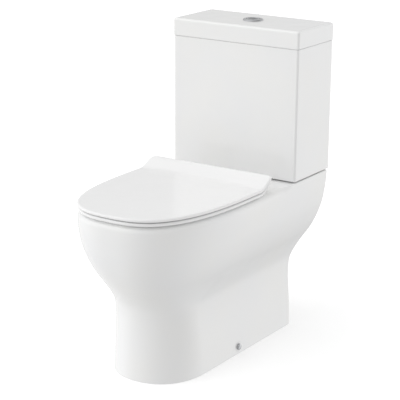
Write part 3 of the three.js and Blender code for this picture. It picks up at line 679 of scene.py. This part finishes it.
def trap_tube(radius):
    """Round tube along the trap way's line."""
    knots = np.array(TRAP_LINE, float)
    padded = np.vstack([2 * knots[0] - knots[1], knots, 2 * knots[-1] - knots[-2]])
    line = []
    for i in range(1, len(padded) - 2):
        a, b, c, d = padded[i - 1:i + 3]
        for t in np.linspace(0, 1, 8, endpoint=False):
            line.append(0.5 * (2 * b + (c - a) * t + (2 * a - 5 * b + 4 * c - d) * t ** 2
                               + (3 * b - a - 3 * c + d) * t ** 3))
    line = np.array([*line, knots[-1]])
    heading = np.gradient(line, axis=0)
    heading /= np.linalg.norm(heading, axis=1)[:, None]
    angle = np.linspace(0, 2 * math.pi, 48, endpoint=False)
    rings = []
    for (y, z), (along_y, along_z) in zip(line, heading):
        rings.append(np.column_stack([
            radius * np.cos(angle),
            y - along_z * radius * np.sin(angle),
            z + along_y * radius * np.sin(angle),
        ]))
    return skin("trap", rings)


def make_pan():
    spigot_start = SPIGOT_END - SPIGOT_LENGTH
    under = PAN_TOP - DECK
    channel = CHANNEL_HALF + CHANNEL_WALL
    shell = pan_shell()
    limit = shell.copy()
    limit.data = shell.data.copy()
    bpy.context.scene.collection.objects.link(limit)
    insides = join(
        bowl_skin(BOWL_WALL),
        trap_tube(TRAP_RADIUS + TRAP_WALL),
        rod(INLET_RADIUS + INLET_WALL, CHANNEL_LOW - CHANNEL_WALL, under + 2, (0, VALVE_Y)),
        slab(-channel, channel, CHANNEL_FRONT + 10, VALVE_Y, CHANNEL_LOW - CHANNEL_WALL,
             CHANNEL_HIGH + CHANNEL_WALL, 8),
    )
    insides = combine(insides, "INTERSECT", limit)
    spigot = turned("spigot", [(0, spigot_start), (SPIGOT_RADIUS, spigot_start), (SPIGOT_RADIUS, SPIGOT_END),
                               (0, SPIGOT_END)], (0, SPIGOT_Z), Y, 96, 2.5)
    body = join(cut(shell, pan_hollow()), insides, spigot)
    holes = [
        bowl_skin(0, RIM_ROUND),
        trap_tube(TRAP_RADIUS),
        rod(SPIGOT_BORE, spigot_start + 8, SPIGOT_END + 5, (0, SPIGOT_Z), Y, 96),
        rod(INLET_RECESS, INLET_LEDGE, PAN_TOP + 5, (0, VALVE_Y), Z, 96),
        rod(INLET_RADIUS, CHANNEL_LOW, PAN_TOP, (0, VALVE_Y), Z, 96),
        slab(-CHANNEL_HALF, CHANNEL_HALF, CHANNEL_FRONT, VALVE_Y, CHANNEL_LOW, CHANNEL_HIGH, 9),
        rod(FILL_HOLE, under - 14, PAN_TOP + 5, (FILL_X, VALVE_Y)),
    ]
    for _, sign in SIDES:
        foot_side = sign * pan_half(FIXING_Z)
        holes.append(rod(COUPLING_HOLE, under - 14, PAN_TOP + 5, (sign * COUPLING_X, VALVE_Y), Z, 40))
        holes.append(rod(HINGE_HOLE, under - 9, PAN_TOP + 5, (sign * HINGE_X, HINGE_Y), Z, 40))
        holes.append(rod(FIXING_HOLE, foot_side - 20, foot_side + 20, (FIXING_Y, FIXING_Z), X, 32))
    return stand_for(cut(body, *holes), "pan")


# ------------------------------------------------------------------ cistern
def cistern_half(height):
    """Half width of the cistern's outside, which widens upwards."""
    return CISTERN_HALF - CISTERN_TAPER * (CISTERN_HIGH - height) / (CISTERN_HIGH - CISTERN_LOW)


def inner_outline(height, inset=0.0):
    half = cistern_half(height) - CISTERN_WALL
    return box_outline(half - inset, CISTERN_FRONT + CISTERN_WALL + inset, -CISTERN_WALL - inset,
                       CISTERN_ROOM_CORNER)


def make_cistern():
    def outer(height, inset=0.0):
        return box_outline(cistern_half(height) - inset, CISTERN_FRONT + inset, 0, CISTERN_CORNER)

    rings = [rise(outer(CISTERN_LOW, CISTERN_FOOT_EDGE + 0.6), CISTERN_LOW)]
    for inset, below in reversed(quarter(CISTERN_FOOT_EDGE)):
        rings.append(rise(outer(CISTERN_LOW + below, inset), CISTERN_LOW + below))
    for height in np.linspace(CISTERN_LOW + 8, CISTERN_HIGH - 4, 24):
        rings.append(rise(outer(height), height))
    for inset, below in quarter(SEAM_EDGE, 5):
        rings.append(rise(outer(CISTERN_HIGH - below, inset), CISTERN_HIGH - below))
    shell = skin("cistern", rings)
    floor = CISTERN_LOW + CISTERN_FLOOR
    room = []
    for inset, below in reversed(quarter(CISTERN_ROOM_CORNER)):
        room.append(rise(inner_outline(floor + below, inset), floor + below))
    for height in np.linspace(floor + 14, CISTERN_HIGH + 5, 12):
        room.append(rise(inner_outline(height), height))
    holes = [skin("room", room)]
    hole_rows = ((0, VALVE_HOLE), (FILL_X, TAIL_HOLE), (COUPLING_X, BOLT_HOLE), (-COUPLING_X, BOLT_HOLE))
    for x, radius in hole_rows:
        holes.append(rod(radius, CISTERN_LOW - 5, floor + 5, (x, VALVE_Y)))
    return stand_for(cut(shell, *holes), "cistern")


def make_cistern_lid():
    def outer(inset):
        return box_outline(LID_HALF - inset, LID_FRONT + inset, -min(inset, LID_EDGE), LID_CORNER)

    rings = [rise(outer(SEAM_EDGE + 0.6), LID_LOW)]
    for inset, below in reversed(quarter(SEAM_EDGE, 5)):
        rings.append(rise(outer(inset), LID_LOW + below))
    for height in np.linspace(LID_LOW + 5, LID_HIGH - LID_EDGE - 2, 6):
        rings.append(rise(outer(0), height))
    for inset, below in quarter(LID_EDGE, 12):
        rings.append(rise(outer(inset), LID_HIGH - below))
    rings.append(rise(outer(LID_EDGE + 0.6), LID_HIGH))
    shell = skin("cistern_lid", rings)

    def inside(inset, back, corner):
        return box_outline(LID_HALF - LID_SKIRT - inset, LID_FRONT + LID_SKIRT + inset, back, corner)

    room = [rise(inside(0, -11.5, 9), height) for height in (LID_LOW - 2, LID_HIGH - LID_ROOF)]
    rib_outer, rib_tip, rib_inner = inside(-0.6, -10.9, 9), inside(1.4, -12.9, 8), inside(6, -17.5, 6)
    rib_low, rib_high = LID_LOW - RIB_DROP, LID_LOW + 6
    rib = cut(
        skin("rib", [rise(rib_tip, rib_low), rise(rib_outer, rib_low + 2), rise(rib_outer, rib_high)]),
        skin("rib_hollow", [rise(rib_inner, rib_low - 1), rise(rib_inner, rib_high + 1)]),
    )
    body = join(cut(shell, skin("lid_room", room)), rib)
    hole = rod(BUTTON_HOLE, LID_HIGH - 20, LID_HIGH + 5, (0, VALVE_Y), Z, 96)
    return stand_for(cut(body, hole), "cistern_lid")


# ------------------------------------------------------------------ seat
def ramp(y):
    t = np.clip((y - RAMP_START) / (SEAT_BACK - RAMP_START), 0, 1)
    return RAMP_RISE * np.sin(math.pi / 2 * t) ** 2


def seat_outline(size):
    outline = d_outline(SEAT_HALF, SEAT_MIDDLE, SEAT_MIDDLE - SEAT_FRONT, SEAT_BACK, (2.75, 3.0), SEAT_CORNER,
                        front_steps=96, side_steps=28)
    rear = np.clip((outline[:, 1] - SEAT_MIDDLE) / (SEAT_BACK - SEAT_MIDDLE), 0, 1)
    return np.column_stack([
        outline[:, 0] * size * (1 - SEAT_TAPER * rear ** 2),
        SEAT_CENTRE + (outline[:, 1] - SEAT_CENTRE) * size,
    ])


def inset_share(inset):
    """The outline's scale that draws its edge in by about this much."""
    return 1 - inset / SEAT_HALF


def everywhere(x):
    return np.ones_like(x)


def outside_hinges(x):
    """0 over the hinges, growing to 1 at the seat's outer corners."""
    t = np.clip((np.abs(x) - RAMP_OUTSIDE[0]) / (RAMP_OUTSIDE[1] - RAMP_OUTSIDE[0]), 0, 1)
    return t * t * (3 - 2 * t)


def seat_slab(name, size, bottom, top, below, crown):
    """Flat seat part; its top follows the ramp, and below(x) is how far its underside does."""
    def ring(share, z, follow):
        outline = seat_outline(size * share)
        return rise(outline, z + follow(outline[:, X]) * ramp(outline[:, Y]))

    inner = [0.04, 0.12, 0.25, 0.4, 0.55, 0.68, 0.76, *np.linspace(0.79, inset_share(SEAT_EDGE) - 0.004, 16)]
    rings = [ring(share, bottom, below) for share in inner]
    for inset, under in reversed(quarter(SEAT_EDGE, 7)):
        rings.append(ring(inset_share(inset), bottom + under, below))
    for inset, under in quarter(SEAT_EDGE, 7):
        rings.append(ring(inset_share(inset), top - under, everywhere))
    for share in reversed(inner):
        rings.append(ring(share, top + crown * (1 - share ** 2), everywhere))
    return skin(name, rings)


def ring_opening():
    """The ring's hole, wider at both faces so that its edges come out rounded."""
    edge = quarter(OPENING_EDGE, 7)
    levels = [(OPENING_EDGE, RING_LOW - 5)]
    levels += [(growth, RING_LOW + depth) for growth, depth in reversed(edge)]
    levels += [(growth, RING_HIGH - depth) for growth, depth in edge]
    levels.append((OPENING_EDGE, RING_HIGH + 30))
    return skin("opening", [
        rise(oval(OPENING_HALF + growth, OPENING_REACH + growth, OPENING_MIDDLE, OPENING_POWER, 144), z)
        for growth, z in levels
    ])


def make_seat():
    ring = seat_slab("ring", RING_SIZE, RING_LOW, RING_HIGH, outside_hinges, 0)
    behind = cut(slab(-200, 200, HINGE_Y, HINGE_Y + 30, 400, 470),
                 rod(RING_BARREL, -210, 210, (HINGE_Y, HINGE_Z), X, 96))
    tools = [ring_opening(), behind]
    for _, sign in SIDES:
        left, right = sorted((sign * NOTCH[0], sign * NOTCH[1]))
        bore = sorted((sign * (PIN_MIDDLE - PIN_REACH), sign * (PIN_MIDDLE + PIN_REACH)))
        tools.append(slab(left, right, NOTCH_FRONT, -240, 400, 470, 2))
        tools.append(rod(PIN_BORE, *bore, (HINGE_Y, HINGE_Z), X, 40))
    stand_for(cut(ring, *tools), "seat_ring")

    cover = seat_slab("cover", 1.0, COVER_LOW, COVER_HIGH, everywhere, 2.0)
    for _, sign in SIDES:
        left, right = sorted((sign * LUG[0], sign * LUG[1]))
        lug = turned("lug", [(0, left), (LUG_RADIUS, left), (LUG_RADIUS, right), (0, right)],
                     (HINGE_Y, HINGE_Z), X, 64, 0.8)
        web = slab(left, right, HINGE_Y - LUG_RADIUS, HINGE_Y + 6, HINGE_Z, 444, 0.8)
        cover = join(cover, lug, web)
        cover = cut(cover, rod(PIN_BORE, left - 2, right + 2, (HINGE_Y, HINGE_Z), X, 40))
    stand_for(cover, "seat_lid")


# ------------------------------------------------------------------ chrome pieces
BEZEL_HIGH = high("button_bezel", Z)
BEZEL_LOW = low("button_bezel", Z)
BUTTON_HIGH = high("button_large", Z) - 0.3
BUTTON_LOW = low("button_large", Z)
BUTTON_RADIUS = high("button_large", X)
SPLIT_GAP = 0.3                   # from the middle of the split to each button
SPLIT_X = low("button_large", X) - SPLIT_GAP
ROD_X = {"large": 8, "small": -9}
ROD_HOLE = 3.4
SLEEVE_RADIUS = 19.4              # the bezel's sleeve through the lid
FLANGE_RADIUS = 25.5              # and its flange on top
WELL_RADIUS = 17.6
WELL_FLOOR = BEZEL_LOW + 5
CAP_RADIUS, CAP_BORE = 8, 5.5


def make_buttons():
    seat_level = LID_HIGH + 0.3
    bezel = turned("bezel", [
        (0, BEZEL_LOW), (SLEEVE_RADIUS, BEZEL_LOW), (SLEEVE_RADIUS, seat_level), (FLANGE_RADIUS, seat_level),
        (FLANGE_RADIUS - 0.3, BEZEL_HIGH - 1.4), (FLANGE_RADIUS - 2, BEZEL_HIGH),
        (WELL_RADIUS + 0.5, BEZEL_HIGH), (WELL_RADIUS, BEZEL_HIGH - 0.6),
        (WELL_RADIUS, WELL_FLOOR), (0, WELL_FLOOR),
    ], (0, VALVE_Y), Z, 128, 0.5)
    holes = [rod(ROD_HOLE, BEZEL_LOW - 5, WELL_FLOOR + 4, (x, VALVE_Y), Z, 32) for x in ROD_X.values()]
    stand_for(cut(bezel, *holes), "button_bezel")
    halves = {"small": (-30, SPLIT_X - SPLIT_GAP), "large": (SPLIT_X + SPLIT_GAP, 30)}
    for size, (left, right) in halves.items():
        disc = turned("disc", [
            (0, BUTTON_LOW), (BUTTON_RADIUS, BUTTON_LOW), (BUTTON_RADIUS, BUTTON_HIGH - 0.3),
            (BUTTON_RADIUS - 1.6, BUTTON_HIGH), (BUTTON_RADIUS - 4, BUTTON_HIGH - 0.5),
            (BUTTON_RADIUS - 9, BUTTON_HIGH - 1.9), (4, BUTTON_HIGH - 2.4), (0, BUTTON_HIGH - 2.4),
        ], (0, VALVE_Y), Z, 128, 1.0)
        side = slab(left, right, VALVE_Y - 25, VALVE_Y + 25, BEZEL_LOW, BEZEL_HIGH + 5)
        half = soften(combine(disc, "INTERSECT", side), 0.35, 50)
        stand_for(half, f"button_{size}")


def make_side_caps():
    for side, sign in SIDES:
        face = [abs(v) for v in (low(f"side_cap_{side}", X), high(f"side_cap_{side}", X))]
        inner, outer = min(face), max(face)
        profile = [
            (0, inner), (CAP_RADIUS, inner), (CAP_RADIUS, inner + 1.8), (CAP_RADIUS - 0.9, outer - 1.2),
            (CAP_RADIUS - 3.6, outer - 0.2), (0, outer),
        ]
        cap = turned("cap", [(r, sign * x) for r, x in profile], (FIXING_Y, FIXING_Z), X, 64, 0.8)
        depth = sorted((sign * (inner - 3), sign * (inner + 2.8)))
        hollow = rod(CAP_BORE, *depth, (FIXING_Y, FIXING_Z), X, 48)
        stand_for(cut(cap, hollow), f"side_cap_{side}")


# ------------------------------------------------------------------ working parts and fasteners
def refine(node, width=0.35):
    """The CAD node's own shape with its hard edges softened."""
    source = frame["nodes"][node]
    mesh = source.data.copy()
    work = bmesh.new()
    work.from_mesh(mesh)
    bmesh.ops.remove_doubles(work, verts=work.verts, dist=1e-6)
    bmesh.ops.dissolve_limit(work, angle_limit=math.radians(0.6), verts=work.verts, edges=work.edges)
    bmesh.ops.recalc_face_normals(work, faces=work.faces)
    work.to_mesh(mesh)
    work.free()
    thing = bpy.data.objects.new(node, mesh)
    bpy.context.scene.collection.objects.link(thing)
    return stand_for(soften(thing, width, 40), node)


make_pan()
make_cistern()
make_cistern_lid()
make_seat()
make_buttons()
make_side_caps()
done = {node for thing in bpy.data.objects for node in thing.get("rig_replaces", [])}
for node in sorted(set(frame["nodes"]) - done):
    refine(node)

# Each button spring gets a mesh of its own.
for size in ROD_X:
    spring = f"button_spring_{size}"
    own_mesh(bpy.data.objects[f"{spring}_fine"])


# ------------------------------------------------------------------ stage, light and camera
def make_stage():
    """Pale floor that curves up into a pale backdrop all round."""
    radius, height, bend, sides = 9.0, 8.0, 2.0, 96
    profile = [(radius - 2 * bend, 0.0), (radius - bend, 0.0)]
    for turn in np.linspace(0, math.pi / 2, 17)[1:]:
        profile.append((radius - bend + bend * math.sin(turn), bend * (1 - math.cos(turn))))
    profile.append((radius, height))
    angles = np.linspace(0, 2 * math.pi, sides, endpoint=False)
    points = [(r * math.cos(a), r * math.sin(a), z) for r, z in profile for a in angles]
    faces = [tuple(range(sides))]
    for i in range(len(profile) - 1):
        for k in range(sides):
            a, b = i * sides + k, i * sides + (k + 1) % sides
            faces.append((a, a + sides, b + sides, b))
    mesh = bpy.data.meshes.new("backdrop")
    mesh.from_pydata(points, [], faces)
    mesh.shade_smooth()
    backdrop = bpy.data.objects.new("backdrop", mesh)
    bpy.context.scene.collection.objects.link(backdrop)
    material, _, _, shader = new_material("pale_paper")
    shader.inputs["Base Color"].default_value = (0.9, 0.9, 0.9, 1)
    shader.inputs["Roughness"].default_value = 0.9
    shader.inputs["Specular IOR Level"].default_value = 0.1
    shader.inputs["Emission Color"].default_value = (1, 1, 1, 1)
    shader.inputs["Emission Strength"].default_value = 0.3
    mesh.materials.append(material)
    backdrop.visible_diffuse = False
    backdrop.visible_glossy = False
    backdrop.visible_shadow = False


# Soft light from all round: an even base and broad lobes of (azimuth, elevation, strength).
# Azimuth 0 is in front of the toilet and positive towards +X; lobes below the horizon are the floor's bounce.
BASE_LIGHT = 0.5
LOBE_SHARPNESS = 8
LOBES = (
    (-45, 38, 1.07), (-90, 38, 0.5), (0, 38, 0.45), (135, 38, 0.22), (0, 80, 0.54),
    (150, 2, 0.95), (180, 2, 0.33), (-60, 2, 0.38), (-90, 2, 0.2), (-120, 2, 0.15),
    (-60, -35, 0.64), (-120, -35, 0.43), (0, -35, 0.29), (60, -35, 0.21), (120, -35, 0.56),
)


def light_scene():
    world = bpy.data.worlds.new("studio")
    world.use_nodes = True
    nodes, links = world.node_tree.nodes, world.node_tree.links
    place = nodes.new("ShaderNodeTexCoord")
    total = None
    for azimuth, elevation, strength in LOBES:
        a, e = math.radians(azimuth), math.radians(elevation)
        facing = nodes.new("ShaderNodeVectorMath")
        facing.operation = "DOT_PRODUCT"
        facing.inputs[1].default_value = (math.sin(a) * math.cos(e), -math.cos(a) * math.cos(e), math.sin(e))
        links.new(place.outputs["Generated"], facing.inputs[0])
        front = nodes.new("ShaderNodeMath")
        front.operation = "MAXIMUM"
        front.inputs[1].default_value = 0
        links.new(facing.outputs["Value"], front.inputs[0])
        lobe = nodes.new("ShaderNodeMath")
        lobe.operation = "POWER"
        lobe.inputs[1].default_value = LOBE_SHARPNESS
        links.new(front.outputs["Value"], lobe.inputs[0])
        step = nodes.new("ShaderNodeMath")
        step.operation = "MULTIPLY_ADD"
        step.inputs[1].default_value = strength
        step.inputs[2].default_value = BASE_LIGHT
        links.new(lobe.outputs["Value"], step.inputs[0])
        if total is not None:
            links.new(total, step.inputs[2])
        total = step.outputs["Value"]
    links.new(total, nodes["Background"].inputs["Strength"])
    nodes["Background"].inputs["Color"].default_value = (1, 1, 1, 1)
    bpy.context.scene.world = world
    bpy.context.scene.view_settings.view_transform = "Standard"


CAMERA_PLACE = Vector((1.8794, -2.8284, 1.3770))
CAMERA_AZIMUTH, CAMERA_ELEVATION, CAMERA_ROLL = 33.35, 16.33, 0.41
CAMERA_LENS = 132.65


def add_camera():
    a, e, r = (math.radians(v) for v in (CAMERA_AZIMUTH, CAMERA_ELEVATION, CAMERA_ROLL))
    back = Vector((math.sin(a) * math.cos(e), -math.cos(a) * math.cos(e), math.sin(e)))
    level = Vector((0, 0, 1)).cross(back).normalized()
    upright = back.cross(level)
    right = level * math.cos(r) + upright * math.sin(r)
    up = upright * math.cos(r) - level * math.sin(r)
    lens = bpy.data.cameras.new("camera")
    lens.sensor_width = 36
    lens.lens = CAMERA_LENS
    camera = bpy.data.objects.new("camera", lens)
    camera.matrix_world = Matrix.Translation(CAMERA_PLACE) @ Matrix((right, up, back)).transposed().to_4x4()
    bpy.context.scene.collection.objects.link(camera)
    bpy.context.scene.camera = camera


make_stage()
light_scene()
add_camera()
